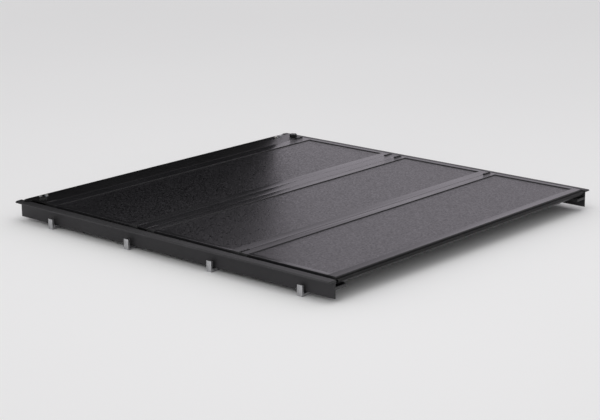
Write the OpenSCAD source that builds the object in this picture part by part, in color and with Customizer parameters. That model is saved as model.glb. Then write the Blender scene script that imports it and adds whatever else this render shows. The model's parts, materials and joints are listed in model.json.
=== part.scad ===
// Hard tri-fold tonneau cover: three framed sandwich panels that fold forward between two bed-side rails.
// X points to the passenger side, Y forward to the cab and Z up. The origin is the plan centre of the
// cover, on the plane where the side rails sit on top of the bed sides. All lengths are in millimetres.

/* [Panels] */
// Width across the folding panels
panel_w = 1568; // [1400:4:1640]
// Depth of the panel frames
frame_d = 28; // [27:0.5:30]
// Height of the panel tops above the rail seat
top_z = 14; // [13.5:0.5:15]
// Depth of the step from the frame lips down to the textured skins
skin_step = 3.5; // [3:0.25:4]
// Thickness of the core and both skins together
sandwich_t = 9; // [8.5:0.25:9]
// Thickness of each skin
skin_t = 1.5; // [1:0.25:2]
// Width of the side frames' top lips
side_lip = 20; // [16:1:24]
// Width of the side frames underneath
side_w = 44; // [40:1:48]
// Wall of the frame extrusions
wall = 2.5; // [2:0.25:3]

/* [Layout along the bed] */
// Half of the overall length
half_len = 845; // [840:1:900]
// Place of the header hinge axis
header_axis_y = 705; // [700:1:710]
// Place of the axis at the front edge of the fold link
link_front_y = 167; // [165:1:170]
// Place of the axis at the rear edge of the fold link
link_rear_y = 112; // [108:1:114]
// Place of the axis between the middle and rear panels
rear_axis_y = -376; // [-380:1:-374]
// Rear face of the rear panel's frame
tail_y = -833; // [-833:1:-825]
// Lips of the front panel: front edge and rear edge
front_lips = [58.6, 44.6];
// Lips of the middle panel: front edge and rear edge
middle_lips = [36.6, 45.6];
// Lips of the rear panel: front edge and rear edge
rear_lips = [36.6, 35];

/* [Hinges] */
// Radius of the knuckles
knuckle_r = 3.5; // [3.25:0.25:3.75]
// Radius of the hinge pins
pin_r = 1.75; // [1.5:0.25:2]
// Radial clearance of a pin in its knuckles
fit_clear = 0.05; // [0.03:0.01:0.08]
// Half of the seam between two panels
edge_gap = 0.6; // [0.5:0.1:0.8]
// Length of the hinge at each end of a seam
hinge_len = 48; // [36:4:80]
// Number of knuckles on a hinge
knuckle_count = 3; // [3:2:5]

/* [Side rails] */
// Distance from the centre line to the inner face of the rail webs
web_x = 797; // [797:1:799]
// Distance from the centre line to the outer edge of the rails
rail_x = 830; // [828:1:836]
// Depth of the rail webs below the seat
web_depth = 62; // [58:1:70]
// Underside of the gutter floor
gutter_z = -30; // [-32:1:-29]
// Number of bed clamps on each rail
clamp_count = 4; // [2:1:5]

/* [Latches] */
// Travel of the latch bolts
latch_travel = 12; // [10:1:12]
// Half width of a latch bolt
bolt_half = 9; // [8:0.5:10]
// Radius of the release cables
cable_r = 1.5; // [1.25:0.25:1.5]

/* [Prop rods] */
// Length of a prop rod from pivot to foot
rod_len = 300; // [280:5:310]
// Distance from the header hinge to the rod pivot
rod_back = 100; // [95:5:110]
// Radius of the rod wire
rod_r = 3.5; // [3:0.25:3.5]

/* [Hidden] */
$fn = 48;
half_w = panel_w / 2;
cap_t = 3;
bar_x = half_w - cap_t;
frame_bottom = top_z - frame_d;
skin_top = top_z - skin_step;
skin_bottom = skin_top - sandwich_t;
cross_bite = 10;
side_bite = 8;
edge_break = 0.6;

// Hinge axes stand just above the panel tops, so the frames can meet at a narrow seam between the hinges
hinge_z = top_z + 1;
pin_bore_r = pin_r + fit_clear;
hinge_x = [bar_x - hinge_len, bar_x];
knuckle_pitch = hinge_len / knuckle_count;
knuckle_gap = 0.6;
knuckle_web = 2;
pocket_half = knuckle_r + 0.7;

// Front and rear edges of the three panels
front_edges = [header_axis_y - edge_gap, link_front_y + edge_gap];
middle_edges = [link_rear_y - edge_gap, rear_axis_y + edge_gap];
rear_edges = [rear_axis_y - edge_gap, tail_y];

// Side rail section
rail_t = 3;
rail_end = half_len - 5;
gutter_in = 740;
gutter_floor = gutter_z + 2.5;
upstand_top = -19;
catch_z = -2.1;
rail_lip = [[rail_x, 0], [rail_x, 4], [rail_x - 3.5, 7.5], [web_x + 11, 8.5], [web_x, 8.5]];
catch_in = half_w + 3;
seal_gap = 0.3;
stud_at = [765, 747];
stud_r = 4;
drain_at = [770, 815];
drain_r = 7;
neck_r = drain_r + 1;
spout_len = 24;
clamp_ys = [for (i = [0 : clamp_count - 1]) -700 + i * 1340 / (clamp_count - 1)];
clamp_half = 12;
clamp_screw_z = -50;
clamp_screw_r = 6;
jaw_x = web_x + 15;

// Header rail section
header_y = header_axis_y + edge_gap;
header_front = 785;
flange_front = 838;
flange_z = [5.5, 8.5];

// Latches
front_latch_y = front_edges[1] + front_lips[1] + 38;
rear_latch_y = rear_edges[1] + rear_lips[1] + 28;
latch_z = -6.5;
bolt_z = [latch_z - 3.5, latch_z + 3.5];
bolt_x = [700, half_w - 1];
housing_x = [690, half_w - side_w];
slot_clear = 0.4;
spring_wire = 0.65;
spring_r = 3;
spring_turns = 6;
guide_step = 250;

// Prop rods
rod_x = 700;
rod_z = -7.5;
rod_y = header_axis_y - rod_back;
eye_r = 6;
pivot_r = 3;
foot_x = 734;
foot_rest_z = -6;
foot_drop = hinge_z + rod_back - foot_rest_z;
foot_rest_y = header_axis_y + rod_z - hinge_z - sqrt(rod_len * rod_len - foot_drop * foot_drop);

// ---- Helpers ----

// A box from its low and high limits on each axis
module bar(x, y, z) {
    translate([x[0], y[0], z[0]])
        cube([x[1] - x[0], y[1] - y[0], z[1] - z[0]]);
}

// A Y-Z outline drawn out along X
module along_x(x0, x1) {
    translate([x0, 0, 0])
        rotate([90, 0, 90])
            linear_extrude(height = x1 - x0)
                children();
}

// An X-Z outline drawn out along Y
module along_y(y0, y1) {
    translate([0, y1, 0])
        rotate([90, 0, 0])
            linear_extrude(height = y1 - y0)
                children();
}

// A round bar along X
module rod_along_x(x0, x1, y, z, r) {
    translate([x0, y, z])
        rotate([0, 90, 0])
            cylinder(h = x1 - x0, r = r);
}

// The same shape on the right and mirrored on the left
module both_sides() {
    children();
    mirror([1, 0, 0])
        children();
}

module left_side() {
    mirror([1, 0, 0])
        children();
}

// Points measured inward from an edge, put at that edge's place along the bed
function from_edge(edge, inward, points) = [for (p = points) [edge + inward * p[0], p[1]]];

// ---- Hinges ----

// Every second knuckle of a seam's two hinges, each with a web to the frame on the given side of the axis
module knuckle_row(axis_y, side, parity) {
    reach = pocket_half + 1;
    difference() {
        both_sides()
            for (i = [parity : 2 : knuckle_count - 1]) {
                x0 = hinge_x[0] + i * knuckle_pitch + knuckle_gap / 2;
                x1 = x0 + knuckle_pitch - knuckle_gap;
                rod_along_x(x0, x1, axis_y, hinge_z, knuckle_r);
                bar([x0, x1], side > 0 ? [axis_y, axis_y + reach] : [axis_y - reach, axis_y],
                    [hinge_z - knuckle_r, hinge_z - knuckle_r + knuckle_web]);
            }
        rod_along_x(-half_w, half_w, axis_y, hinge_z, pin_bore_r);
    }
}

// The pockets that the knuckles of a seam lie in
module hinge_pockets(axis_y) {
    both_sides()
        bar([hinge_x[0] - knuckle_gap / 2, hinge_x[1] + knuckle_gap / 2],
            [axis_y - pocket_half, axis_y + pocket_half], [hinge_z - pocket_half, top_z + 1]);
}

// A frame bar with its pockets and knuckles on one seam
module hinged(axis_y, side, parity) {
    difference() {
        children();
        hinge_pockets(axis_y);
    }
    knuckle_row(axis_y, side, parity);
}

module hinge_pins(axis_y) {
    color("silver")
        both_sides()
            rod_along_x(hinge_x[0] + 1, hinge_x[1] - 1, axis_y, hinge_z, pin_r);
}

// ---- Panel frames and sandwich ----

function cross_outline(lip) = [
    [0, frame_bottom], [lip, frame_bottom], [lip, skin_bottom], [lip - cross_bite, skin_bottom],
    [lip - cross_bite, skin_top], [lip, skin_top], [lip, top_z - edge_break], [lip - edge_break, top_z],
    [edge_break, top_z], [0, top_z - edge_break]
];

function box_outline(u0, u1, z0, z1) = [[u0, z0], [u1, z0], [u1, z1], [u0, z1]];

// A front or rear frame bar: a lipped, double-chamber extrusion across the panel
module cross_frame(edge, inward, lip) {
    along_x(-bar_x, bar_x)
        difference() {
            polygon(from_edge(edge, inward, cross_outline(lip)));
            polygon(from_edge(edge, inward,
                box_outline(wall, lip - wall, frame_bottom + wall, skin_bottom - wall)));
            polygon(from_edge(edge, inward,
                box_outline(wall, lip - cross_bite - wall, skin_bottom, skin_top - 1.5)));
        }
}

// The two side frame bars of a panel
module side_frames(edges, lips) {
    difference() {
        both_sides()
            along_y(edges[1] + lips[1], edges[0] - lips[0])
                difference() {
                    polygon([
                        [half_w - side_w, frame_bottom], [half_w, frame_bottom],
                        [half_w, top_z - edge_break], [half_w - edge_break, top_z],
                        [half_w - side_lip + edge_break, top_z],
                        [half_w - side_lip, top_z - edge_break], [half_w - side_lip, skin_top],
                        [half_w - side_lip + side_bite, skin_top],
                        [half_w - side_lip + side_bite, skin_bottom],
                        [half_w - side_w, skin_bottom]
                    ]);
                    polygon(box_outline(half_w - side_w + wall, half_w - wall,
                        frame_bottom + wall, skin_bottom - wall));
                }
        children();
    }
}

// The openings for a pair of latch bolts through the side frames
module latch_slots(y) {
    both_sides()
        bar([half_w - side_w - 1, half_w + 1], [y - bolt_half - slot_clear, y + bolt_half + slot_clear],
            [bolt_z[0] - slot_clear, bolt_z[1] + slot_clear]);
}

// A plate that fills a panel's grooves, between the given heights
module panel_plate(edges, lips, z) {
    edge_x = half_w - side_lip + side_bite;
    bar([-edge_x, edge_x],
        [edges[1] + lips[1] - cross_bite, edges[0] - lips[0] + cross_bite], z);
}

module top_skin(edges, lips) {
    color([0.13, 0.13, 0.14])
        panel_plate(edges, lips, [skin_top - skin_t, skin_top]);
}

module panel_core(edges, lips) {
    color([0.85, 0.83, 0.75])
        panel_plate(edges, lips, [skin_bottom + skin_t, skin_top - skin_t]);
}

module bottom_skin(edges, lips) {
    color([0.2, 0.2, 0.2])
        panel_plate(edges, lips, [skin_bottom, skin_bottom + skin_t]);
}

// Moulded caps that close the ends of a panel's cross bars, each with a plug in the lower chamber
module corner_caps(edges, lips) {
    color([0.06, 0.06, 0.06])
        both_sides() {
            corner_cap(edges[0], -1, lips[0]);
            corner_cap(edges[1], 1, lips[1]);
        }
}

module corner_cap(edge, inward, lip) {
    plug_clear = 0.2;
    along_x(bar_x, half_w)
        polygon(from_edge(edge, inward, [
            [0, frame_bottom], [lip, frame_bottom], [lip, top_z - edge_break],
            [lip - edge_break, top_z], [edge_break, top_z], [0, top_z - edge_break]
        ]));
    along_x(bar_x - 12, bar_x)
        polygon(from_edge(edge, inward, box_outline(wall + plug_clear, lip - wall - plug_clear,
            frame_bottom + wall + plug_clear, skin_bottom - wall - plug_clear)));
}

// ---- Latches ----

// A housing under the bottom skin, open towards the side frame, with a hole for the cable
module latch_housing(y) {
    difference() {
        union() {
            bar(housing_x, [y - bolt_half - 3.5, y + bolt_half + 3.5], [frame_bottom + 1, skin_bottom]);
            bar(housing_x, [y - bolt_half - 11, y + bolt_half + 11], [skin_bottom - 3, skin_bottom]);
        }
        bar([housing_x[0] + wall, housing_x[1] + 1],
            [y - bolt_half - slot_clear, y + bolt_half + slot_clear],
            [bolt_z[0] - slot_clear, bolt_z[1] + slot_clear]);
        rod_along_x(housing_x[0] - 1, housing_x[0] + wall + 1, y, latch_z, cable_r + 0.1);
    }
}

// A slide bolt with a ramped nose and a blind hole in its tail for the cable
module latch_bolt(y) {
    ramp = [8, 4];
    difference() {
        along_y(y - bolt_half, y + bolt_half)
            polygon([
                [bolt_x[0], bolt_z[0]], [bolt_x[1] - ramp[0], bolt_z[0]],
                [bolt_x[1], bolt_z[0] + ramp[1]], [bolt_x[1], bolt_z[1]], [bolt_x[0], bolt_z[1]]
            ]);
        rod_along_x(bolt_x[0] - 1, bolt_x[0] + 25, y, latch_z, cable_r + 0.4);
    }
}

// The spring behind a bolt, closed up as it is when the bolt is drawn back
module latch_spring(y) {
    for (i = [0 : spring_turns - 1])
        translate([housing_x[0] + wall + spring_wire + i * 1.2, y, latch_z])
            rotate([0, 90, 0])
                rotate_extrude()
                    translate([spring_r, 0])
                        circle(r = spring_wire);
}

// The cable runs straight from tail to tail of the two bolts
module release_cable(y) {
    tip = bolt_x[0] + 22;
    rod_along_x(-tip, tip, y, latch_z, cable_r);
}

module cable_guides(y) {
    for (x = [-2 * guide_step : guide_step : 2 * guide_step])
        difference() {
            bar([x - 6, x + 6], [y - 5, y + 5], [latch_z - 4, skin_bottom]);
            rod_along_x(x - 7, x + 7, y, latch_z, cable_r + 0.1);
        }
}

// ---- Prop rods ----

// A wire rod folded back along the panel, with an eye at its pivot and a foot turned outward
module prop_rod() {
    foot_y = rod_y - rod_len;
    difference() {
        union() {
            rod_along_x(rod_x - 5, rod_x + 5, rod_y, rod_z, eye_r);
            translate([rod_x, rod_y, rod_z])
                rotate([90, 0, 0])
                    cylinder(h = rod_len, r = rod_r);
            translate([rod_x, foot_y, rod_z])
                sphere(r = rod_r);
            rod_along_x(rod_x, foot_x, foot_y, rod_z, rod_r);
        }
        rod_along_x(rod_x - 6, rod_x + 6, rod_y, rod_z, pivot_r + fit_clear);
    }
}

// A two-eared bracket under the front panel
module rod_bracket() {
    ear_in = 6;
    ear_out = 9.5;
    difference() {
        union() {
            bar([rod_x - 16, rod_x + 16], [rod_y - 14, rod_y + 14], [skin_bottom - 1.5, skin_bottom]);
            for (x = [rod_x - ear_out, rod_x + ear_in]) {
                bar([x, x + ear_out - ear_in], [rod_y - eye_r, rod_y + eye_r], [rod_z, skin_bottom]);
                rod_along_x(x, x + ear_out - ear_in, rod_y, rod_z, eye_r);
            }
        }
        rod_along_x(rod_x - 20, rod_x + 20, rod_y, rod_z, pivot_r + fit_clear);
    }
}

module rod_pivot() {
    rod_along_x(rod_x - 10, rod_x + 10, rod_y, rod_z, pivot_r);
    for (x = [rod_x - 12, rod_x + 10])
        rod_along_x(x, x + 2, rod_y, rod_z, pivot_r + 1.8);
}

// A spring clip, open downward, that holds the folded rod
module rod_clip() {
    inner = rod_r + 0.4;
    outer = rod_r + 2.2;
    y = rod_y - 0.82 * rod_len;
    difference() {
        bar([rod_x - outer, rod_x + outer], [y - 6, y + 6], [rod_z - rod_r, skin_bottom]);
        translate([rod_x, y + 7, rod_z])
            rotate([90, 0, 0])
                cylinder(h = 14, r = inner);
        bar([rod_x - inner, rod_x + inner], [y - 7, y + 7], [rod_z - rod_r - 1, rod_z]);
    }
}

// A post on the inside of the gutter with a notch for the rod's foot
module rod_post() {
    notch_r = rod_r + 0.4;
    difference() {
        union() {
            bar([712, gutter_in], [foot_rest_y - 14, foot_rest_y + 14], [gutter_z, gutter_z + 8]);
            bar([712, 737], [foot_rest_y - 10, foot_rest_y + 10], [gutter_z, -1]);
        }
        rod_along_x(711, 741, foot_rest_y, foot_rest_z, notch_r);
        bar([711, 741], [foot_rest_y - notch_r, foot_rest_y + notch_r], [foot_rest_z, 0]);
    }
}

// ---- Side rails and header ----

module rail_section() {
    difference() {
        union() {
            polygon(concat([[web_x, -web_depth], [web_x + rail_t, -web_depth], [web_x + rail_t, 0]],
                rail_lip));
            polygon(box_outline(catch_in, web_x + 1, catch_z, catch_z + rail_t));
            polygon(box_outline(gutter_in, web_x + 1, gutter_z, gutter_floor));
            polygon(box_outline(gutter_in, gutter_in + rail_t, gutter_z, upstand_top));
        }
        polygon([
            [web_x + 6, 2.5], [rail_x - 6, 2.5], [rail_x - 6, 5], [web_x + 10.5, 6.2], [web_x + 6, 6.2]
        ]);
    }
}

module side_rail() {
    difference() {
        along_y(-rail_end, rail_end)
            rail_section();
        translate([stud_at[0], stud_at[1], gutter_z - 1])
            cylinder(h = 5, r = stud_r + fit_clear);
        translate([drain_at[0], drain_at[1], gutter_z - 1])
            cylinder(h = 5, r = neck_r + fit_clear);
    }
}

module left_rail() {
    color([0.16, 0.16, 0.17])
        left_side()
            side_rail();
}

module right_rail() {
    color([0.16, 0.16, 0.17])
        side_rail();
}

// Bulb seals on the gutter upstands, just under the panel frames
module rail_seals() {
    bulb_r = 2.3;
    bulb_z = frame_bottom - seal_gap - bulb_r;
    color([0.04, 0.04, 0.04])
        both_sides()
            along_y(-rail_end, rail_end) {
                translate([gutter_in + 3, bulb_z])
                    circle(r = bulb_r);
                polygon(box_outline(gutter_in - 1, gutter_in + 7, upstand_top, bulb_z));
            }
}

module rail_end_caps() {
    color([0.05, 0.05, 0.05])
        both_sides()
            for (y = [-half_len, rail_end])
                along_y(y, y + half_len - rail_end)
                    polygon(concat(
                        [[gutter_in, gutter_z], [web_x, gutter_z], [web_x, -web_depth],
                            [web_x + rail_t, -web_depth], [web_x + rail_t, 0]],
                        rail_lip,
                        [[web_x, upstand_top], [gutter_in, upstand_top]]));
}

// Spouts dropped into the gutter floor from above: flange, neck in the floor, and tube for the hose
module drain_spouts() {
    color([0.08, 0.08, 0.08])
        both_sides()
            translate([drain_at[0], drain_at[1], 0])
                difference() {
                    union() {
                        translate([0, 0, gutter_floor])
                            cylinder(h = 2, r = neck_r + 3);
                        translate([0, 0, gutter_z])
                            cylinder(h = gutter_floor + 1 - gutter_z, r = neck_r);
                        translate([0, 0, gutter_z - spout_len])
                            cylinder(h = spout_len + 1, r = drain_r);
                    }
                    translate([0, 0, gutter_z - spout_len - 1])
                        cylinder(h = 2 * spout_len, r = drain_r - 2);
                }
}

// Clamps that reach under the bed side's inner flange and draw it against the rail web
module clamp_frames() {
    arm_x = [752, 764];
    color([0.6, 0.6, 0.62])
        both_sides()
            for (y = clamp_ys)
                difference() {
                    along_y(y - clamp_half, y + clamp_half)
                        polygon([
                            [arm_x[0], -76], [jaw_x + 10, -76], [jaw_x + 10, -34], [jaw_x, -34],
                            [jaw_x, -66], [arm_x[1], -66], [arm_x[1], -36], [arm_x[0], -36]
                        ]);
                    rod_along_x(arm_x[0] - 1, arm_x[1] + 1, y, clamp_screw_z, clamp_screw_r + fit_clear);
                }
}

module clamp_screws() {
    color([0.75, 0.75, 0.77])
        both_sides()
            for (y = clamp_ys) {
                rod_along_x(722, web_x - 8, y, clamp_screw_z, clamp_screw_r);
                rod_along_x(web_x - 9, web_x, y, clamp_screw_z, 9);
                translate([712, y, clamp_screw_z])
                    rotate([0, 90, 0])
                        cylinder(h = 10, r = 11, $fn = 6);
            }
}

// Cross extrusion at the cab end, with a thin flange over the front of the bed
module header_rail() {
    chamber_y = [header_y + 6, header_front - rail_t];
    color([0.15, 0.15, 0.16])
        difference() {
            hinged(header_axis_y, 1, 0)
                along_x(-half_w, half_w)
                    difference() {
                        polygon([
                            [header_y, frame_bottom], [header_front, frame_bottom],
                            [header_front, flange_z[0]], [flange_front, flange_z[0]],
                            [flange_front, flange_z[1]], [header_front, flange_z[1]],
                            [header_front, top_z - edge_break], [header_front - edge_break, top_z],
                            [header_y + edge_break, top_z], [header_y, top_z - edge_break]
                        ]);
                        polygon(box_outline(chamber_y[0], chamber_y[1],
                            frame_bottom + rail_t, top_z - 4.5));
                    }
            both_sides()
                translate([stud_at[0], stud_at[1], frame_bottom - 1])
                    cylinder(h = frame_d + 2, r = stud_r + 0.3);
        }
}

module bulkhead_seal() {
    color([0.03, 0.03, 0.03])
        bar([-half_w, half_w], [header_front + 5, half_len], [0, flange_z[0]]);
}

// Plates that tie the header's flange to the tops of the side rails
module header_brackets() {
    color([0.8, 0.8, 0.82])
        both_sides()
            bar([690, web_x + 14], [790, 812], [flange_z[1], flange_z[1] + 3]);
}

// Knobs with six finger scallops, whose studs draw the header down to the gutter floor
module hold_down_knobs() {
    scallops = 6;
    knob_r = 17;
    knob_h = 13;
    color([0.04, 0.04, 0.04])
        both_sides()
            translate([stud_at[0], stud_at[1], 0]) {
                difference() {
                    translate([0, 0, top_z])
                        cylinder(h = knob_h, r = knob_r);
                    for (i = [0 : scallops - 1])
                        rotate([0, 0, (i + 0.5) * 360 / scallops])
                            translate([knob_r + 3, 0, top_z - 1])
                                cylinder(h = knob_h + 2, r = 6);
                }
                translate([0, 0, gutter_z - 8])
                    cylinder(h = top_z + 4 - (gutter_z - 8), r = stud_r);
            }
}

module header_hinge_pin() {
    hinge_pins(header_axis_y);
}

module rod_posts() {
    color([0.1, 0.1, 0.1])
        both_sides()
            rod_post();
}

// ---- Front panel ----

module front_top_skin() {
    top_skin(front_edges, front_lips);
}

module front_core() {
    panel_core(front_edges, front_lips);
}

module front_bottom_skin() {
    bottom_skin(front_edges, front_lips);
}

module front_hinge_frame() {
    color([0.15, 0.15, 0.16])
        hinged(header_axis_y, -1, 1)
            cross_frame(front_edges[0], -1, front_lips[0]);
}

module front_link_frame() {
    color([0.15, 0.15, 0.16])
        hinged(link_front_y, 1, 0)
            cross_frame(front_edges[1], 1, front_lips[1]);
}

module front_side_frames() {
    color([0.16, 0.16, 0.17])
        side_frames(front_edges, front_lips)
            latch_slots(front_latch_y);
}

module front_corner_caps() {
    corner_caps(front_edges, front_lips);
}

module link_front_pin() {
    hinge_pins(link_front_y);
}

module front_latch_housings() {
    color([0.08, 0.08, 0.08])
        both_sides()
            latch_housing(front_latch_y);
}

module front_release_cable() {
    color([0.35, 0.35, 0.36])
        release_cable(front_latch_y);
}

module front_cable_guides() {
    color([0.1, 0.1, 0.1])
        cable_guides(front_latch_y);
}

module front_left_spring() {
    color("silver")
        left_side()
            latch_spring(front_latch_y);
}

module front_right_spring() {
    color("silver")
        latch_spring(front_latch_y);
}

module rod_brackets() {
    color([0.2, 0.2, 0.2])
        both_sides()
            rod_bracket();
}

module rod_pivots() {
    color("silver")
        both_sides()
            rod_pivot();
}

module rod_clips() {
    color([0.05, 0.05, 0.05])
        both_sides()
            rod_clip();
}

module left_prop_rod() {
    color([0.1, 0.1, 0.1])
        left_side()
            prop_rod();
}

module right_prop_rod() {
    color([0.1, 0.1, 0.1])
        prop_rod();
}

module front_left_bolt() {
    color([0.7, 0.7, 0.72])
        left_side()
            latch_bolt(front_latch_y);
}

module front_right_bolt() {
    color([0.7, 0.7, 0.72])
        latch_bolt(front_latch_y);
}

// ---- Fold link ----

module link_strip() {
    thick = 5;
    color([0.15, 0.15, 0.16])
        hinged(link_front_y, -1, 1)
            hinged(link_rear_y, 1, 1)
                bar([-half_w, half_w], [link_rear_y + edge_gap, link_front_y - edge_gap],
                    [top_z - thick, top_z]);
}

// Rubber pad under the link that fills the space between the panels
module link_seal() {
    color([0.03, 0.03, 0.03])
        bar([-bar_x, bar_x], [link_rear_y + edge_gap + 0.3, link_front_y - edge_gap - 0.3],
            [top_z - 10, top_z - 5]);
}

// ---- Middle panel ----

module middle_top_skin() {
    top_skin(middle_edges, middle_lips);
}

module middle_core() {
    panel_core(middle_edges, middle_lips);
}

module middle_bottom_skin() {
    bottom_skin(middle_edges, middle_lips);
}

module middle_link_frame() {
    color([0.15, 0.15, 0.16])
        hinged(link_rear_y, -1, 0)
            cross_frame(middle_edges[0], -1, middle_lips[0]);
}

module middle_hinge_frame() {
    color([0.15, 0.15, 0.16])
        hinged(rear_axis_y, 1, 0)
            cross_frame(middle_edges[1], 1, middle_lips[1]);
}

module middle_side_frames() {
    color([0.16, 0.16, 0.17])
        side_frames(middle_edges, middle_lips);
}

module middle_corner_caps() {
    corner_caps(middle_edges, middle_lips);
}

module link_rear_pin() {
    hinge_pins(link_rear_y);
}

module rear_hinge_pin() {
    hinge_pins(rear_axis_y);
}

// Rubber strip bonded under the middle panel's rear edge, with a lip that closes the seam from below
module rear_hinge_seal() {
    half = gutter_in - 10;
    seal_z = frame_bottom - 2;
    color([0.03, 0.03, 0.03]) {
        bar([-half, half], [rear_axis_y + edge_gap, rear_axis_y + 14], [seal_z, frame_bottom]);
        bar([-half, half], [rear_axis_y - 6, rear_axis_y + 2], [seal_z, frame_bottom - seal_gap]);
    }
}

// ---- Rear panel ----

module rear_top_skin() {
    top_skin(rear_edges, rear_lips);
}

module rear_core() {
    panel_core(rear_edges, rear_lips);
}

module rear_bottom_skin() {
    bottom_skin(rear_edges, rear_lips);
}

module rear_hinge_frame() {
    color([0.15, 0.15, 0.16])
        hinged(rear_axis_y, -1, 1)
            cross_frame(rear_edges[0], -1, rear_lips[0]);
}

module rear_tail_frame() {
    color([0.15, 0.15, 0.16])
        cross_frame(rear_edges[1], 1, rear_lips[1]);
}

module rear_side_frames() {
    color([0.16, 0.16, 0.17])
        side_frames(rear_edges, rear_lips)
            latch_slots(rear_latch_y);
}

module rear_corner_caps() {
    corner_caps(rear_edges, rear_lips);
}

// Bulb seal that closes the gap to the tailgate
module tail_seal() {
    bulb_r = 5.5;
    bulb_at = [tail_y - bulb_r - 0.5, -1];
    color([0.03, 0.03, 0.03])
        along_x(-bar_x, bar_x)
            difference() {
                union() {
                    polygon(box_outline(tail_y - 2, tail_y, -8, 9));
                    translate(bulb_at)
                        circle(r = bulb_r);
                }
                translate(bulb_at)
                    circle(r = bulb_r - 2);
            }
}

module rear_latch_housings() {
    color([0.08, 0.08, 0.08])
        both_sides()
            latch_housing(rear_latch_y);
}

module rear_release_cable() {
    color([0.35, 0.35, 0.36])
        release_cable(rear_latch_y);
}

module rear_cable_guides() {
    color([0.1, 0.1, 0.1])
        cable_guides(rear_latch_y);
}

module rear_left_spring() {
    color("silver")
        left_side()
            latch_spring(rear_latch_y);
}

module rear_right_spring() {
    color("silver")
        latch_spring(rear_latch_y);
}

module rear_left_bolt() {
    color([0.7, 0.7, 0.72])
        left_side()
            latch_bolt(rear_latch_y);
}

module rear_right_bolt() {
    color([0.7, 0.7, 0.72])
        latch_bolt(rear_latch_y);
}

// ---- The assembly ----

left_rail();
right_rail();
rail_seals();
rail_end_caps();
drain_spouts();
clamp_frames();
clamp_screws();
header_rail();
bulkhead_seal();
header_brackets();
hold_down_knobs();
header_hinge_pin();
rod_posts();
front_top_skin();
front_core();
front_bottom_skin();
front_hinge_frame();
front_link_frame();
front_side_frames();
front_corner_caps();
link_front_pin();
front_latch_housings();
front_release_cable();
front_cable_guides();
front_left_spring();
front_right_spring();
rod_brackets();
rod_pivots();
rod_clips();
left_prop_rod();
right_prop_rod();
front_left_bolt();
front_right_bolt();
link_strip();
link_seal();
middle_top_skin();
middle_core();
middle_bottom_skin();
middle_link_frame();
middle_hinge_frame();
middle_side_frames();
middle_corner_caps();
link_rear_pin();
rear_hinge_pin();
rear_hinge_seal();
rear_top_skin();
rear_core();
rear_bottom_skin();
rear_hinge_frame();
rear_tail_frame();
rear_side_frames();
rear_corner_caps();
tail_seal();
rear_latch_housings();
rear_release_cable();
rear_cable_guides();
rear_left_spring();
rear_right_spring();
rear_left_bolt();
rear_right_bolt();
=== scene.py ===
"""Hard tri-fold tonneau cover: finishes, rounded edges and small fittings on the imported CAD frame.

All lengths are in metres, in the same frame as the CAD: +X passenger side, +Y to the cab, +Z up.
"""
import json
import math

import bmesh
import bpy
from mathutils import Matrix, Vector


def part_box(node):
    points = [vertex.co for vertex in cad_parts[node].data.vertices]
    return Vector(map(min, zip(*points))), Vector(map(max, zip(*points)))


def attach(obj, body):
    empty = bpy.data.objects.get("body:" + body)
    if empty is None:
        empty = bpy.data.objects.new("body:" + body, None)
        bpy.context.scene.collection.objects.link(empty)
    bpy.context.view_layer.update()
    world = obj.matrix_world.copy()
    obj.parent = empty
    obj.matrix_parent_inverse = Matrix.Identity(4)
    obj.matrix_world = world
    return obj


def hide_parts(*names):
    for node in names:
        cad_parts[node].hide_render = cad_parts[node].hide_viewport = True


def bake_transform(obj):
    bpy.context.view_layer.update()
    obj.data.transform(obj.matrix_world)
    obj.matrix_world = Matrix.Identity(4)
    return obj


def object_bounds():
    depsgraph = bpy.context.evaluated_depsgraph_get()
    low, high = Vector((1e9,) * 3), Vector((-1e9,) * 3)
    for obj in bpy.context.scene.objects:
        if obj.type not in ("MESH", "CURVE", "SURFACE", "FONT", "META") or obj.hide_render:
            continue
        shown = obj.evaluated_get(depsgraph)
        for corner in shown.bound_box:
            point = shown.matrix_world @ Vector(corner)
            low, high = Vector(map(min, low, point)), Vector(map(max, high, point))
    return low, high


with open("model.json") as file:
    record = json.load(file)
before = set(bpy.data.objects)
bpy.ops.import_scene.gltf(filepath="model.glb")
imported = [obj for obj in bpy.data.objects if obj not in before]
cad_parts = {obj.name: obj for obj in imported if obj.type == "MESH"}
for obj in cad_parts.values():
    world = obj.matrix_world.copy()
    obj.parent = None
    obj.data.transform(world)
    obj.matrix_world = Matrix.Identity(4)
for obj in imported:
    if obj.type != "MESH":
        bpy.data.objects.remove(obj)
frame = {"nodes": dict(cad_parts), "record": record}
cad_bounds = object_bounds()
NODES = frame["nodes"]
RECORD = frame["record"]
BODY_OF = {n: body for body, names in RECORD["behaviour"]["bodies"].items() for n in names}
SLOT_OF = {row["node"]: row["material_slot"] for row in RECORD["subparts"]}
MM = 0.001
# The black finishes reflect very slightly violet
BLACK_SHEEN = (0.985, 0.945, 1.0, 1)
# What shows where a coat or a moulding is rubbed
BARE_METAL, RUBBED_NYLON = (0.20, 0.20, 0.205, 1), (0.09, 0.09, 0.092, 1)


# ---- Materials ----

def add_node(tree, kind, inputs=None, **settings):
    """A shader node with its settings, each input linked to another node or set to a value."""
    node = tree.nodes.new("ShaderNode" + kind)
    for key, value in settings.items():
        setattr(node, key, value)
    for key, value in (inputs or {}).items():
        if isinstance(value, bpy.types.NodeSocket):
            tree.links.new(value, node.inputs[key])
        else:
            node.inputs[key].default_value = value
    return node


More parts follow.
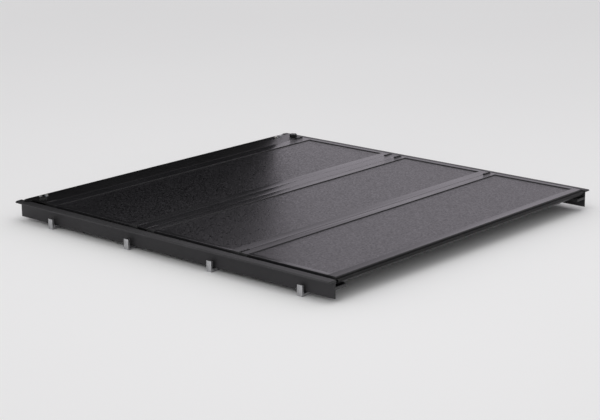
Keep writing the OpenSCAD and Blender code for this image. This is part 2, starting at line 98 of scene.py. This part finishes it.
class Shader:
    """A short way to build a node tree on one principled shader."""

    def __init__(self, name, **sockets):
        self.material = bpy.data.materials.new(name)
        self.material.use_nodes = True
        self.tree = self.material.node_tree
        self.surface = self.tree.nodes["Principled BSDF"]
        self.place = self.add("TexCoord").outputs["Object"]
        for socket, value in sockets.items():
            self.surface.inputs[socket.replace("_", " ")].default_value = value

    def add(self, kind, inputs=None, **settings):
        return add_node(self.tree, kind, inputs, **settings)

    def stretched(self, x, y, z):
        """Object coordinates scaled along each axis, for marks that run along an extrusion."""
        node = self.add("Mapping", {"Vector": self.place, "Scale": (x, y, z)})
        return node.outputs["Vector"]

    def noise(self, cells_per_m, detail=3, place=None, roughness=0.55):
        node = self.add("TexNoise", {"Vector": place or self.place, "Scale": cells_per_m,
                                     "Detail": detail, "Roughness": roughness})
        return node.outputs["Fac"]

    def cells(self, cells_per_m, feature="F1"):
        node = self.add("TexVoronoi", {"Vector": self.place, "Scale": cells_per_m}, feature=feature)
        return node.outputs["Distance"]

    def span(self, value, low, high, to_low, to_high):
        """value between low and high, mapped to the range to_low to to_high."""
        node = self.add("MapRange", {"Value": value, "From Min": low, "From Max": high,
                                     "To Min": to_low, "To Max": to_high})
        return node.outputs["Result"]

    def sum(self, a, b, weight_a, weight_b):
        first = self.add("Math", {0: a, 1: weight_a}, operation="MULTIPLY").outputs[0]
        node = self.add("Math", {0: b, 1: weight_b, 2: first}, operation="MULTIPLY_ADD")
        return node.outputs[0]

    def blend(self, amount, low, high):
        node = self.add("Mix", {0: amount, 6: (*low, 1), 7: (*high, 1)}, data_type="RGBA")
        return node.outputs[2]

    def tint(self, colour, amount, low, high):
        """colour made darker and lighter by a pattern."""
        shade = self.span(amount, 0.3, 0.7, low, high)
        node = self.add("VectorMath", {0: colour, "Scale": shade}, operation="SCALE")
        return node.outputs[0]

    def bump(self, height, depth, strength, after=None):
        inputs = {"Height": height, "Distance": depth, "Strength": strength}
        if after is not None:
            inputs["Normal"] = after
        return self.add("Bump", inputs).outputs["Normal"]

    def finish(self, colour, roughness=None, normal=None):
        for socket, value in (("Base Color", colour), ("Roughness", roughness), ("Normal", normal)):
            if value is not None:
                self.tree.links.new(value, self.surface.inputs[socket])
        return self.material


def grained_skin():
    """Stippled matt laminate: shallow pits a couple of millimetres apart over a fine tooth."""
    s = Shader("grained_skin", Specular_IOR_Level=0.5, Specular_Tint=BLACK_SHEEN)
    pits = s.cells(420, feature="SMOOTH_F1")
    mottle = s.noise(120, detail=3)
    tooth = s.noise(1100, detail=2)
    broad = s.noise(2.2, detail=3)
    height = s.sum(s.sum(pits, tooth, 1.0, 0.35), mottle, 1.0, 3.2)
    colour = s.blend(s.span(mottle, 0.35, 0.65, 0, 1), (0.0035, 0.0034, 0.004),
                     (0.0175, 0.0170, 0.0190))
    colour = s.tint(colour, broad, 0.85, 1.15)
    rough = s.sum(s.span(mottle, 0.3, 0.7, 0.24, 0.50), broad, 1.0, 0.04)
    return s.finish(colour, rough, s.bump(height, 0.4 * MM, 0.5))


def powder_coat(name, low, high, rough, wear=0.0, specular=0.5):
    """Satin powder coat: orange peel, faint die lines, and bare metal where wear rubs it through."""
    s = Shader(name, Specular_IOR_Level=specular, Specular_Tint=BLACK_SHEEN)
    peel = s.noise(620, detail=2)
    die = s.noise(1.0, detail=1, place=s.stretched(1.5, 1.5, 900))
    broad = s.noise(3.5, detail=4)
    colour = s.blend(s.span(broad, 0.35, 0.65, 0, 1), low, high)
    colour = s.tint(colour, peel, 0.94, 1.06)
    if wear:
        rub = s.span(s.noise(45, detail=5, roughness=0.7), 0.52, 0.72, 0, wear)
        node = s.add("Mix", {0: rub, 6: colour, 7: BARE_METAL}, data_type="RGBA")
        colour = node.outputs[2]
    roughness = s.sum(s.span(peel, 0.3, 0.7, rough - 0.04, rough + 0.05), broad, 1.0, 0.05)
    normal = s.bump(die, 0.03 * MM, 0.25, after=s.bump(peel, 0.07 * MM, 0.4))
    return s.finish(colour, roughness, normal)


def laminate_under():
    """Underside of a panel: smooth laminate with the fibre print just showing through."""
    s = Shader("laminate_under", Specular_IOR_Level=0.4)
    warp = s.add("TexWave", {"Vector": s.place, "Scale": 95, "Distortion": 1.2, "Detail": 1},
                 wave_type="BANDS", bands_direction="X").outputs["Fac"]
    weft = s.add("TexWave", {"Vector": s.place, "Scale": 95, "Distortion": 1.2, "Detail": 1},
                 wave_type="BANDS", bands_direction="Y").outputs["Fac"]
    broad = s.noise(4, detail=4)
    print_through = s.sum(warp, weft, 0.5, 0.5)
    colour = s.blend(print_through, (0.030, 0.030, 0.031), (0.044, 0.044, 0.045))
    colour = s.tint(colour, broad, 0.8, 1.2)
    rough = s.span(broad, 0.3, 0.7, 0.42, 0.6)
    return s.finish(colour, rough, s.bump(print_through, 0.1 * MM, 0.4))


def foam():
    """Cut rigid foam: small closed cells."""
    s = Shader("core_foam", Subsurface_Weight=0.1)
    cell = s.cells(700)
    broad = s.noise(9, detail=3)
    colour = s.blend(cell, (0.50, 0.45, 0.33), (0.74, 0.70, 0.58))
    return s.finish(s.tint(colour, broad, 0.9, 1.1), s.span(cell, 0, 0.6, 0.75, 0.95),
                    s.bump(cell, 0.6 * MM, 0.7))


def rubber():
    """Extruded rubber with dust in its pores."""
    s = Shader("seal_rubber", Specular_IOR_Level=0.3)
    grain = s.noise(800, detail=3)
    dust = s.noise(24, detail=5, roughness=0.7)
    colour = s.blend(s.span(dust, 0.5, 0.75, 0, 0.5), (0.0055, 0.0055, 0.006), (0.032, 0.031, 0.030))
    return s.finish(s.tint(colour, grain, 0.85, 1.15), s.span(grain, 0.3, 0.7, 0.55, 0.75),
                    s.bump(grain, 0.15 * MM, 0.5))


def moulded(name, wear=0.0):
    """Glass-filled nylon with a spark-eroded tool texture."""
    s = Shader(name, Specular_IOR_Level=0.45)
    spark = s.cells(1500, feature="SMOOTH_F1")
    tooth = s.noise(1900, detail=2)
    broad = s.noise(18, detail=3)
    colour = s.blend(s.span(broad, 0.35, 0.65, 0, 1), (0.010, 0.010, 0.011), (0.019, 0.019, 0.020))
    if wear:
        rub = s.span(s.noise(120, detail=4, roughness=0.7), 0.5, 0.75, 0, wear)
        node = s.add("Mix", {0: rub, 6: colour, 7: RUBBED_NYLON}, data_type="RGBA")
        colour = node.outputs[2]
    height = s.sum(spark, tooth, 1.0, 0.4)
    return s.finish(colour, s.span(tooth, 0.3, 0.7, 0.40, 0.52), s.bump(height, 0.12 * MM, 0.6))


def tumbled_aluminium(name, wear=0.0):
    """Extruded aluminium, cut to length and tumbled."""
    s = Shader(name, Metallic=1.0)
    streak = s.noise(1.0, detail=3, place=s.stretched(260, 14, 260))
    pits = s.noise(520, detail=3)
    broad = s.noise(30, detail=4)
    bright = 0.52 + 0.2 * wear
    colour = s.blend(s.span(broad, 0.3, 0.7, 0, 1), (0.40, 0.40, 0.41), (bright, bright, bright + 0.015))
    rough = s.sum(s.span(streak, 0.3, 0.7, 0.30, 0.46), pits, 1.0, 0.06 - 0.05 * wear)
    return s.finish(colour, rough, s.bump(s.sum(pits, streak, 1.0, 0.6), 0.08 * MM, 0.5))


def zinc_plate():
    """Bright zinc plate with a faint blue and yellow cast and fine scuffs."""
    s = Shader("zinc_plate", Metallic=1.0)
    cast = s.noise(38, detail=3)
    scuff = s.noise(1.0, detail=4, place=s.stretched(90, 700, 700))
    colour = s.blend(s.span(cast, 0.35, 0.65, 0, 1), (0.56, 0.59, 0.64), (0.68, 0.66, 0.59))
    colour = s.tint(colour, scuff, 0.9, 1.08)
    rough = s.sum(s.span(cast, 0.3, 0.7, 0.20, 0.32), scuff, 1.0, 0.1)
    return s.finish(colour, rough, s.bump(scuff, 0.03 * MM, 0.5))


def wire_rope():
    """Steel cable: slanting strands, with painted shade in the grooves between them."""
    s = Shader("wire_rope", Metallic=1.0)
    lay = s.add("TexWave", {"Vector": s.place, "Scale": 260, "Distortion": 0.0},
                wave_type="BANDS", bands_direction="DIAGONAL").outputs["Fac"]
    grime = s.noise(60, detail=4)
    # Dark colour in the grooves between strands: painted shade
    colour = s.blend(lay, (0.09, 0.085, 0.08), (0.46, 0.46, 0.45))
    return s.finish(s.tint(colour, grime, 0.8, 1.1), s.span(grime, 0.3, 0.7, 0.3, 0.5),
                    s.bump(lay, 0.25 * MM, 0.9))


def enamelled_rod(name, wear=0.0):
    """Black enamel on steel wire, rubbed through to bare metal in spots."""
    s = Shader(name, Specular_IOR_Level=0.5)
    flow = s.noise(170, detail=2)
    spots = s.noise(75, detail=5, roughness=0.7)
    rub = s.span(spots, 0.62 - 0.1 * wear, 0.72, 0, 1)
    colour = s.blend(rub, (0.010, 0.010, 0.011), (0.23, 0.22, 0.21))
    s.tree.links.new(s.span(rub, 0, 1, 0, 0.8), s.surface.inputs["Metallic"])
    return s.finish(colour, s.span(flow, 0.3, 0.7, 0.24, 0.38), s.bump(flow, 0.1 * MM, 0.4))


def plain_floor():
    """Pale matt floor, very slightly uneven in tone."""
    s = Shader("studio_floor", Specular_IOR_Level=0.1, Roughness=0.9)
    soft = s.noise(0.35, detail=1)
    colour = s.blend(s.span(soft, 0.3, 0.7, 0, 1), (0.892, 0.892, 0.892), (0.908, 0.908, 0.908))
    return s.finish(colour)


FRAME_LOW, FRAME_HIGH = (0.010, 0.010, 0.011), (0.015, 0.0148, 0.0162)
RAIL_LOW, RAIL_HIGH = (0.021, 0.021, 0.022), (0.031, 0.0305, 0.032)
FINISHES = {
    "frame_black": powder_coat("frame_coat", FRAME_LOW, FRAME_HIGH, 0.28, specular=0.46),
    "rail_black": powder_coat("rail_coat", RAIL_LOW, RAIL_HIGH, 0.55, specular=0.42),
    "skin_top": grained_skin(),
    "skin_under": laminate_under(),
    "core_foam": foam(),
    "seal_rubber": rubber(),
    "moulded_black": moulded("moulded_nylon"),
    "clamp_aluminium": tumbled_aluminium("tumbled_aluminium"),
    "plated_steel": zinc_plate(),
    "cable_steel": wire_rope(),
    "rod_black": enamelled_rod("rod_enamel"),
}
# The header and its brackets are rougher than the panel frames; their darker colour and weaker
# reflection are painted shade, for the shade and dark reflection at the cab end
HEADER_SHADED_FINISH = powder_coat("header_coat_shaded", (0.006, 0.006, 0.0065), (0.009, 0.009, 0.0095), 0.38,
                            specular=0.36)
# The rounded edges of hard pieces are rubbed lighter in patches; on the powder coats each edge is also
# evenly lighter all along, a painted highlight
EDGE_WEAR = 0.55
EDGE_WEAR_AND_HIGHLIGHT_FINISHES = {
    "frame_black": powder_coat("frame_coat_worn_highlit_edge", FRAME_HIGH, (0.028, 0.028, 0.029), 0.27, EDGE_WEAR),
    "rail_black": powder_coat("rail_coat_worn_highlit_edge", RAIL_HIGH, (0.045, 0.045, 0.046), 0.35, EDGE_WEAR),
    "moulded_black": moulded("moulded_nylon_edge", wear=0.5),
    "clamp_aluminium": tumbled_aluminium("tumbled_aluminium_edge", wear=1.0),
    "rod_black": enamelled_rod("rod_enamel_edge", wear=1.0),
}


# ---- Pieces ----

# Points closer than this are one, and faces that lean less than FLAT_ANGLE to each other are one
MERGE_DISTANCE, FLAT_ANGLE = 1e-6, math.radians(0.6)
# Edges sharper than this are rounded, in this many steps; the knobs take one more
SHARP_ANGLE = math.radians(28)
EDGE_SEGMENTS, KNOB_SEGMENTS = 2, 3


def middle(low, high):
    return tuple((a + b) / 2 for a, b in zip(low, high))


def smooth(mesh):
    for face in mesh.polygons:
        face.use_smooth = True


def link_mesh(name, mesh, slot, body):
    """A new piece from a mesh, on its body, with the finish of its slot."""
    piece = bpy.data.objects.new(name, mesh)
    bpy.context.scene.collection.objects.link(piece)
    mesh.materials.clear()
    mesh.materials.append(FINISHES[slot])
    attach(piece, body)
    return piece


def round_edges(piece, width, segments, slot):
    """Rounds the sharp edges with real geometry, and gives the new faces the slot's edge finish: worn,
    and on the powder coats also lighter as a painted highlight.
    """
    bevel = piece.modifiers.new("edges", "BEVEL")
    bevel.width = width
    bevel.segments = segments
    bevel.limit_method = "ANGLE"
    bevel.angle_limit = SHARP_ANGLE
    bevel.use_clamp_overlap = True
    bevel.harden_normals = True
    if slot in EDGE_WEAR_AND_HIGHLIGHT_FINISHES:
        piece.data.materials.append(EDGE_WEAR_AND_HIGHLIGHT_FINISHES[slot])
        bevel.material = 1
    smooth(piece.data)


def soften(node, width, segments):
    """Stands for a CAD node with the same shape, its sharp edges rounded by width."""
    bm = bmesh.new()
    bm.from_mesh(NODES[node].data)
    bmesh.ops.remove_doubles(bm, verts=bm.verts, dist=MERGE_DISTANCE)
    bmesh.ops.dissolve_limit(bm, angle_limit=FLAT_ANGLE, verts=bm.verts, edges=bm.edges)
    mesh = bpy.data.meshes.new(node + "_rounded")
    bm.to_mesh(mesh)
    bm.free()
    slot = SLOT_OF[node]
    piece = link_mesh(node + "_rounded", mesh, slot, BODY_OF[node])
    round_edges(piece, width, segments, slot)
    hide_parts(node)


# Width of the rounding on each node that gets one
ROUNDING = {
    1.0 * MM: ("clamp_frames",),
    0.8 * MM: ("left_rail", "right_rail", "rail_end_caps", "rod_posts", "bulkhead_seal"),
    0.5 * MM: ("front_hinge_frame", "front_link_frame", "front_side_frames", "front_corner_caps",
               "middle_link_frame", "middle_hinge_frame", "middle_side_frames", "middle_corner_caps",
               "rear_hinge_frame", "rear_tail_frame", "rear_side_frames", "rear_corner_caps",
               "link_strip", "header_rail", "drain_spouts", "header_brackets", "front_latch_housings",
               "rear_latch_housings", "front_left_bolt", "front_right_bolt", "rear_left_bolt",
               "rear_right_bolt", "rod_brackets", "rod_clips", "rod_pivots", "left_prop_rod",
               "right_prop_rod", "front_cable_guides", "rear_cable_guides", "tail_seal",
               "link_seal", "rear_hinge_seal", "rail_seals"),
    1.5 * MM: ("hold_down_knobs",),
}


def finish_cad_nodes():
    """Rounds the listed nodes, and gives every CAD node the finish of its slot."""
    for width, names in ROUNDING.items():
        for node in names:
            soften(node, width, KNOB_SEGMENTS if node == "hold_down_knobs" else EDGE_SEGMENTS)
    for node, obj in NODES.items():
        obj.data.materials.clear()
        obj.data.materials.append(FINISHES[SLOT_OF[node]])


def new_mesh(name, verts, faces):
    mesh = bpy.data.meshes.new(name)
    mesh.from_pydata([tuple(v) for v in verts], [], faces)
    mesh.validate()
    mesh.update()
    return mesh


# ---- Black beads round the textured panels: painted shade along each step ----

# Size of the black bead that paints the step's shadow, and how far it sinks in
SHADOW_BEAD_WIDE, SHADOW_BEAD_TALL, SHADOW_BEAD_BITE = 3.0 * MM, 2.7 * MM, 0.2 * MM
BEAD_STEPS = 6
# How far a skin reaches into the grooves of the side frames and of the cross frames
SIDE_BITE, CROSS_BITE = 8 * MM, 10 * MM


def bead_profile():
    """(inward, up) points of a quarter-round bead that sits in the corner of the step."""
    curve = [(SHADOW_BEAD_WIDE * math.sin(a), SHADOW_BEAD_TALL * math.cos(a))
             for a in (math.pi / 2 * i / BEAD_STEPS for i in range(BEAD_STEPS + 1))]
    back = [(-SHADOW_BEAD_BITE, -SHADOW_BEAD_BITE), (-SHADOW_BEAD_BITE, SHADOW_BEAD_TALL)]
    return back + curve + [(SHADOW_BEAD_WIDE, -SHADOW_BEAD_BITE)]


def shadow_bead(panel):
    """A closed loop of black bead round one panel's textured insert: a dark piece set where the step
    only casts shade, painted shade.
    """
    low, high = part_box(panel + "_top_skin")
    skin_z = high[2]
    x_side = high[0] - SIDE_BITE
    y_front, y_rear = high[1] - CROSS_BITE, low[1] + CROSS_BITE
    profile = bead_profile()
    corners = [(1, 1), (-1, 1), (-1, -1), (1, -1)]
    verts = [(sx * (x_side - u), (y_front - u) if sy > 0 else (y_rear + u), skin_z + up)
             for sx, sy in corners for u, up in profile]
    count = len(profile)
    faces = [(c * count + i, ((c + 1) % 4) * count + i,
              ((c + 1) % 4) * count + (i + 1) % count, c * count + (i + 1) % count)
             for c in range(4) for i in range(count)]
    piece = link_mesh(panel + "_gasket", new_mesh(panel + "_gasket", verts, faces),
                      "seal_rubber", panel + "_panel")
    smooth(piece.data)


# ---- Fasteners ----

ROUND_STEPS, HEXAGON = 32, 6
SMOOTH_ANGLE = math.radians(35)
# Chamfers on turned edges, and how far one turned section starts inside the section before it
CHAMFER, FINE_CHAMFER, SECTION_BITE = 1 * MM, 0.6 * MM, 0.5 * MM
# The header's bolts: their places from the centre line, their heads, and how far a washer sinks in
BOLT_XS = (703 * MM, 733 * MM)
BOLT_ACROSS, BOLT_TALL, BOLT_BITE = 13 * MM, 5.3 * MM, 0.2 * MM
WASHER_TALL, CROWN_TALL, DISH_DEEP = 1.5 * MM, 0.8 * MM, 0.6 * MM
# Shares of the width across flats, and of the head's corner radius
WASHER_SHARE, CROWN_SHARE, DISH_EDGE_SHARE, DISH_SHARE = 0.72, 0.88, 0.6, 0.5
# The clamp screws: HEAD_FROM and HEAD_TO are distances from the centre line
HEAD_R, HEAD_FROM, HEAD_TO = 11 * MM, 712 * MM, 722 * MM
COLLAR_R, COLLAR_TALL = 8 * MM, 1.8 * MM
THREAD_MINOR, THREAD_MAJOR, THREAD_PITCH = 5.2 * MM, 6.0 * MM, 2 * MM
FOOT_R, FOOT_NECK_R, FOOT_TALL = 9 * MM, 7 * MM, 9 * MM
# Two clamps stand further apart than this, and a clamp's block reaches this far from its middle
CLAMP_APART, CLAMP_HALF = 0.1, 12 * MM


def turned(bm, outline, centre, axis, steps=ROUND_STEPS):
    """Adds a turned shape: (radius, height) points revolved about an axis through centre."""
    turn = Vector((0, 0, 1)).rotation_difference(Vector(axis)).to_matrix()
    rings = []
    for r, h in outline:
        ring = [bm.verts.new(turn @ Vector((r * math.cos(a), r * math.sin(a), h)) + Vector(centre))
                for a in (2 * math.pi * i / steps for i in range(steps))]
        rings.append(ring)
    for low, high in zip(rings, rings[1:]):
        for i in range(steps):
            j = (i + 1) % steps
            bm.faces.new((low[i], low[j], high[j], high[i]))
    bm.faces.new(rings[0][::-1])
    bm.faces.new(rings[-1])


def finished_mesh(bm, name):
    """The mesh of bm, smooth except at its sharp edges."""
    bmesh.ops.recalc_face_normals(bm, faces=bm.faces)
    for edge in bm.edges:
        edge.smooth = len(edge.link_faces) == 2 and edge.calc_face_angle() < SMOOTH_ANGLE
    for face in bm.faces:
        face.smooth = True
    mesh = bpy.data.meshes.new(name)
    bm.to_mesh(mesh)
    bm.free()
    return mesh


def thread_outline(start, end, minor, major, pitch):
    """Ridges like a screw thread's, as closed rings, with a small chamfer where they start."""
    turns = int((end - start) / pitch)
    points = [(minor - pitch / 2, start)]
    for i in range(turns):
        points += [(minor, start + i * pitch + 0.1 * pitch), (major, start + (i + 0.5) * pitch),
                   (major, start + (i + 0.6) * pitch)]
    return points + [(minor, start + turns * pitch), (minor, end)]


def washer(bm, x, y, z, radius):
    edge = WASHER_TALL / 4
    outline = [(radius - edge, -BOLT_BITE), (radius, edge), (radius, WASHER_TALL - edge),
               (radius - edge, WASHER_TALL)]
    turned(bm, outline, (x, y, z), (0, 0, 1))


def hex_bolt(bm, x, y, z):
    """A hexagon head with a chamfered crown and a shallow dish in its top, on a washer."""
    washer(bm, x, y, z, WASHER_SHARE * BOLT_ACROSS)
    r = BOLT_ACROSS / math.sqrt(3)
    outline = [(r, 0), (r, BOLT_TALL - CROWN_TALL), (CROWN_SHARE * r, BOLT_TALL),
               (DISH_EDGE_SHARE * r, BOLT_TALL), (DISH_SHARE * r, BOLT_TALL - DISH_DEEP)]
    turned(bm, outline, (x, y, z + WASHER_TALL), (0, 0, 1), HEXAGON)


def bracket_bolts():
    """Plated bolts that hold the header's flange to the brackets, two on each side."""
    low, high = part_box("header_brackets")
    y = middle(low, high)[1]
    bm = bmesh.new()
    for side in (-1, 1):
        for x in BOLT_XS:
            hex_bolt(bm, side * x, y, high[2])
    link_mesh("bracket_bolts", finished_mesh(bm, "bracket_bolts"), "plated_steel", "rail_frame")


def clamp_screw(bm, centre, side, foot_end):
    """One clamp screw along X, from the hexagon head on the inside to the swivel foot."""
    def along(outline, steps=ROUND_STEPS):
        turned(bm, outline, centre, (side, 0, 0), steps)

    foot_from, collar_to = foot_end - FOOT_TALL, HEAD_TO + COLLAR_TALL
    along([(HEAD_R - CHAMFER, HEAD_FROM), (HEAD_R, HEAD_FROM + CHAMFER),
           (HEAD_R, HEAD_TO - CHAMFER), (HEAD_R - CHAMFER, HEAD_TO)], HEXAGON)
    along([(COLLAR_R, HEAD_TO - SECTION_BITE), (COLLAR_R, collar_to - FINE_CHAMFER),
           (COLLAR_R - CHAMFER, collar_to)])
    along(thread_outline(HEAD_TO, foot_from, THREAD_MINOR, THREAD_MAJOR, THREAD_PITCH))
    along([(FOOT_NECK_R, foot_from - SECTION_BITE), (FOOT_R, foot_from + CHAMFER),
           (FOOT_R, foot_end - CHAMFER), (FOOT_R - FINE_CHAMFER, foot_end)])


def clamp_places():
    """Y of each clamp: the middles of the separate blocks in the clamp frames' mesh."""
    ys = sorted({round(v.co.y, 5) for v in NODES["clamp_frames"].data.vertices if v.co.x > 0})
    starts = [y for i, y in enumerate(ys) if i == 0 or y - ys[i - 1] > CLAMP_APART]
    return [y + CLAMP_HALF for y in starts]


def threaded_screws():
    """The clamp screws with modelled ridges, a chamfered hexagon head and a swivel foot."""
    low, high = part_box("clamp_screws")
    z = middle(low, high)[2]
    bm = bmesh.new()
    for side in (-1, 1):
        for y in clamp_places():
            clamp_screw(bm, (0, y, z), side, high[0])
    piece = link_mesh("clamp_screws_threaded", finished_mesh(bm, "clamp_screws_threaded"),
                      "plated_steel", "rail_frame")
    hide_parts("clamp_screws")


# ---- Latch springs ----

SPRING_TURNS, SPRING_WIRE_R = 6, 0.4 * MM
TURN_STEPS, WIRE_STEPS = 16, 8


def helix_mesh(name, low, high):
    """A coil of round wire along X that fills the box from low to high, closed at both ends."""
    x_from, x_to = low[0] + SPRING_WIRE_R, high[0] - SPRING_WIRE_R
    y, z = middle(low, high)[1:]
    radius = (high[2] - low[2]) / 2 - SPRING_WIRE_R
    rings = SPRING_TURNS * TURN_STEPS + 1
    verts, faces = [], []
    for ring in range(rings):
        turn = 2 * math.pi * ring / TURN_STEPS
        x = x_from + (x_to - x_from) * ring / (rings - 1)
        for step in range(WIRE_STEPS):
            around = 2 * math.pi * step / WIRE_STEPS
            reach = radius + SPRING_WIRE_R * math.cos(around)
            verts.append((x + SPRING_WIRE_R * math.sin(around), y + reach * math.cos(turn),
                          z + reach * math.sin(turn)))
    for ring in range(rings - 1):
        for step in range(WIRE_STEPS):
            a, b = ring * WIRE_STEPS + step, ring * WIRE_STEPS + (step + 1) % WIRE_STEPS
            faces.append((a, a + WIRE_STEPS, b + WIRE_STEPS, b))
    faces.append(tuple(range(WIRE_STEPS)))
    faces.append(tuple(reversed(range((rings - 1) * WIRE_STEPS, rings * WIRE_STEPS))))
    return new_mesh(name, verts, faces)


def latch_spring(panel, side):
    """The spring behind a bolt: a coil of wire that fills the box of the spring's CAD node."""
    node = f"{panel}_{side}_spring"
    low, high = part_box(node)
    mesh = helix_mesh(node + "_coil", low, high)
    mesh.materials.append(FINISHES[SLOT_OF[node]])
    smooth(mesh)
    piece = bpy.data.objects.new(node + "_coil", mesh)
    bpy.context.scene.collection.objects.link(piece)
    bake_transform(piece)
    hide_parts(node)


finish_cad_nodes()
# The header and its brackets take the darker coat: painted shade
for shaded_piece in ("header_rail_rounded", "header_brackets_rounded"):
    bpy.data.objects[shaded_piece].data.materials[0] = HEADER_SHADED_FINISH
bracket_bolts()
threaded_screws()
for latch_panel in ("front", "rear"):
    for latch_side in ("left", "right"):
        latch_spring(latch_panel, latch_side)
# Black beads that paint the shadow along each insert's step
for panel_name in ("front", "middle", "rear"):
    shadow_bead(panel_name)


# ---- Studio ----

CAMERA_PLACE = (-4.974, -4.404, 1.754)
CAMERA_AIM = (-0.03, 0.0, -0.05)
CAMERA_LENS, CAMERA_SENSOR, CAMERA_REACH = 100, 36, 200
CAMERA_ROLL = -0.49
FLOOR_R, FLOOR_SIDES, FLOOR_GAP = 60, 64, 0.5 * MM
SOFTBOX_PLACE, SOFTBOX_SIZE, SOFTBOX_WATTS = (-1.0, -1.0, 4.5), (4, 3), 40
# The flag stands upright across the cab end: its span across the bed, its place along it and its top
FLAG_X, FLAG_Y, FLAG_TOP = (-1.1, 0.855), 0.95, 0.95
# Bearings from +Y towards +X, in degrees, over which the lit screen fades in and out; its top is a sine
WINDOW_LEFT, WINDOW_RIGHT, WINDOW_TOP = (30, 46), (95, 130), (0.55, 0.8)
WALL_LIGHT, WINDOW_LIGHT, SEEN_WALL = 0.72, 0.92, 0.92
WHITE, WINDOW_COLOUR = (1, 1, 1, 1), (1.0, 0.94, 1.03, 1)


def make_floor(low):
    """A large round floor just under the lowest point."""
    mesh = bpy.data.meshes.new("floor")
    bm = bmesh.new()
    bmesh.ops.create_circle(bm, cap_ends=True, segments=FLOOR_SIDES, radius=FLOOR_R)
    bmesh.ops.translate(bm, verts=bm.verts, vec=(0, 0, low[2] - FLOOR_GAP))
    bm.to_mesh(mesh)
    bm.free()
    floor = bpy.data.objects.new("floor", mesh)
    bpy.context.scene.collection.objects.link(floor)
    mesh.materials.append(plain_floor())


def make_softbox():
    """A large soft light overhead, aimed at the origin."""
    light = bpy.data.lights.new("overhead", "AREA")
    light.shape = "RECTANGLE"
    light.size, light.size_y = SOFTBOX_SIZE
    light.energy = SOFTBOX_WATTS
    lamp = bpy.data.objects.new("overhead", light)
    lamp.location = SOFTBOX_PLACE
    lamp.rotation_euler = (-Vector(SOFTBOX_PLACE)).to_track_quat("-Z", "Y").to_euler()
    lamp.visible_camera = False
    bpy.context.scene.collection.objects.link(lamp)


def make_flag():
    """A black flag beyond the header, seen only in reflections, as a cab would darken the panels."""
    corners = [(FLAG_X[0], FLAG_Y, 0), (FLAG_X[1], FLAG_Y, 0),
               (FLAG_X[1], FLAG_Y, FLAG_TOP), (FLAG_X[0], FLAG_Y, FLAG_TOP)]
    mesh = new_mesh("flag", corners, [(0, 1, 2, 3)])
    s = Shader("flag_cloth", Specular_IOR_Level=0.0, Roughness=1.0)
    mesh.materials.append(s.finish(s.blend(s.noise(3), (0.001, 0.001, 0.001), (0.003, 0.003, 0.003))))
    flag = bpy.data.objects.new("flag", mesh)
    flag.visible_camera = flag.visible_diffuse = flag.visible_shadow = False
    bpy.context.scene.collection.objects.link(flag)


def fade(tree, value, low, high):
    """Goes smoothly from 0 where value is low to 1 where it is high."""
    return add_node(tree, "MapRange", {"Value": value, "From Min": low, "From Max": high},
                    interpolation_type="SMOOTHSTEP").outputs["Result"]


def maths(tree, operation, *inputs):
    return add_node(tree, "Math", dict(enumerate(inputs)), operation=operation).outputs[0]


def window_share(tree):
    """1 where a ray points at the lit screen and 0 elsewhere, with soft edges."""
    way = add_node(tree, "TexCoord").outputs["Generated"]
    parts = add_node(tree, "SeparateXYZ", {0: way}).outputs
    bearing = maths(tree, "ARCTAN2", parts["X"], parts["Y"])
    between = maths(tree, "MULTIPLY", fade(tree, bearing, *map(math.radians, WINDOW_LEFT)),
                    fade(tree, bearing, *map(math.radians, WINDOW_RIGHT[::-1])))
    return maths(tree, "MULTIPLY", between, fade(tree, parts["Z"], *WINDOW_TOP[::-1]))


def make_world():
    """White walls all round, with a large lit screen to the right; the camera sees plain white."""
    world = bpy.data.worlds.new("studio")
    bpy.context.scene.world = world
    world.use_nodes = True
    tree = world.node_tree
    window = window_share(tree)
    level = maths(tree, "MULTIPLY_ADD", window, WINDOW_LIGHT - WALL_LIGHT, WALL_LIGHT)
    colour = add_node(tree, "Mix", {0: window, 6: WHITE, 7: WINDOW_COLOUR}, data_type="RGBA").outputs[2]
    lit = add_node(tree, "Background", {"Color": colour, "Strength": level}).outputs[0]
    seen = add_node(tree, "Background", {"Color": WHITE, "Strength": SEEN_WALL}).outputs[0]
    to_camera = add_node(tree, "LightPath").outputs["Is Camera Ray"]
    choice = add_node(tree, "MixShader", {0: to_camera, 1: lit, 2: seen}).outputs[0]
    tree.links.new(choice, tree.nodes["World Output"].inputs["Surface"])


def make_camera():
    """The photograph's viewpoint, solved from the truck's wheelbase and wheels, with a longer lens."""
    data = bpy.data.cameras.new("camera")
    data.lens = CAMERA_LENS
    data.sensor_width = CAMERA_SENSOR
    data.clip_end = CAMERA_REACH
    camera = bpy.data.objects.new("camera", data)
    camera.location = CAMERA_PLACE
    aim = Vector(CAMERA_AIM) - Vector(CAMERA_PLACE)
    turn = aim.to_track_quat("-Z", "Y").to_matrix() @ Matrix.Rotation(math.radians(CAMERA_ROLL), 3, "Z")
    camera.rotation_euler = turn.to_euler()
    bpy.context.scene.collection.objects.link(camera)
    bpy.context.scene.camera = camera


make_floor(cad_bounds[0])
make_flag()
make_world()
make_softbox()
make_camera()
bpy.context.scene.view_settings.view_transform = "Standard"
